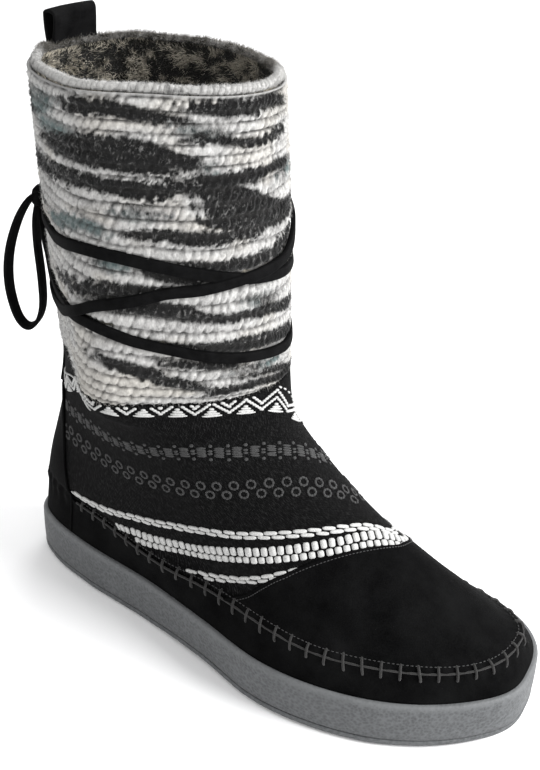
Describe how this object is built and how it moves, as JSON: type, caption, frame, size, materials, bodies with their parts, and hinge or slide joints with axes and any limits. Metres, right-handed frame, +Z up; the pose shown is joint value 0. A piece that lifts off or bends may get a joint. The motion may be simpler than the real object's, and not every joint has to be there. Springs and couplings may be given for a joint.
{
  "type": "pull-on boot",
  "caption": "Right-foot pull-on boot: woven foot, suede toe cap, foxing and heel panel, knitted shaft, flat grey sole, and a suede lace wrapped round the shaft and tied at the back.",
  "frame": {"origin": "on the floor under the middle of the box round the boot without the lace's free stretches", "axes": "+X towards the toe, +Y to the wearer's left, which is this right boot's inner side, +Z up"},
  "size_m": [0.2731, 0.1078, 0.2879],
  "materials": {
    "rubber": "matte grey, finely pebbled",
    "felt": "dark felt",
    "woven": "black woven cloth with grey and white woven bands",
    "knit": "loopy black, grey and cream knit, dark sheared pile inside",
    "suede": "black suede",
    "webbing": "black",
    "lace": "black suede"
  },
  "bodies": {
    "root": {"outsole": "rubber", "midsole": "rubber", "insole": "felt", "upper": "woven", "shaft": "knit", "toe_cap": "suede", "foxing": "suede", "heel_panel": "suede", "pull_loop": "webbing", "wrap_lace": "lace", "lace_knot": "lace", "lace_loop_outer": "lace", "lace_loop_inner": "lace", "lace_end_outer": "lace", "lace_end_inner": "lace"}
  },
  "joints": []
}
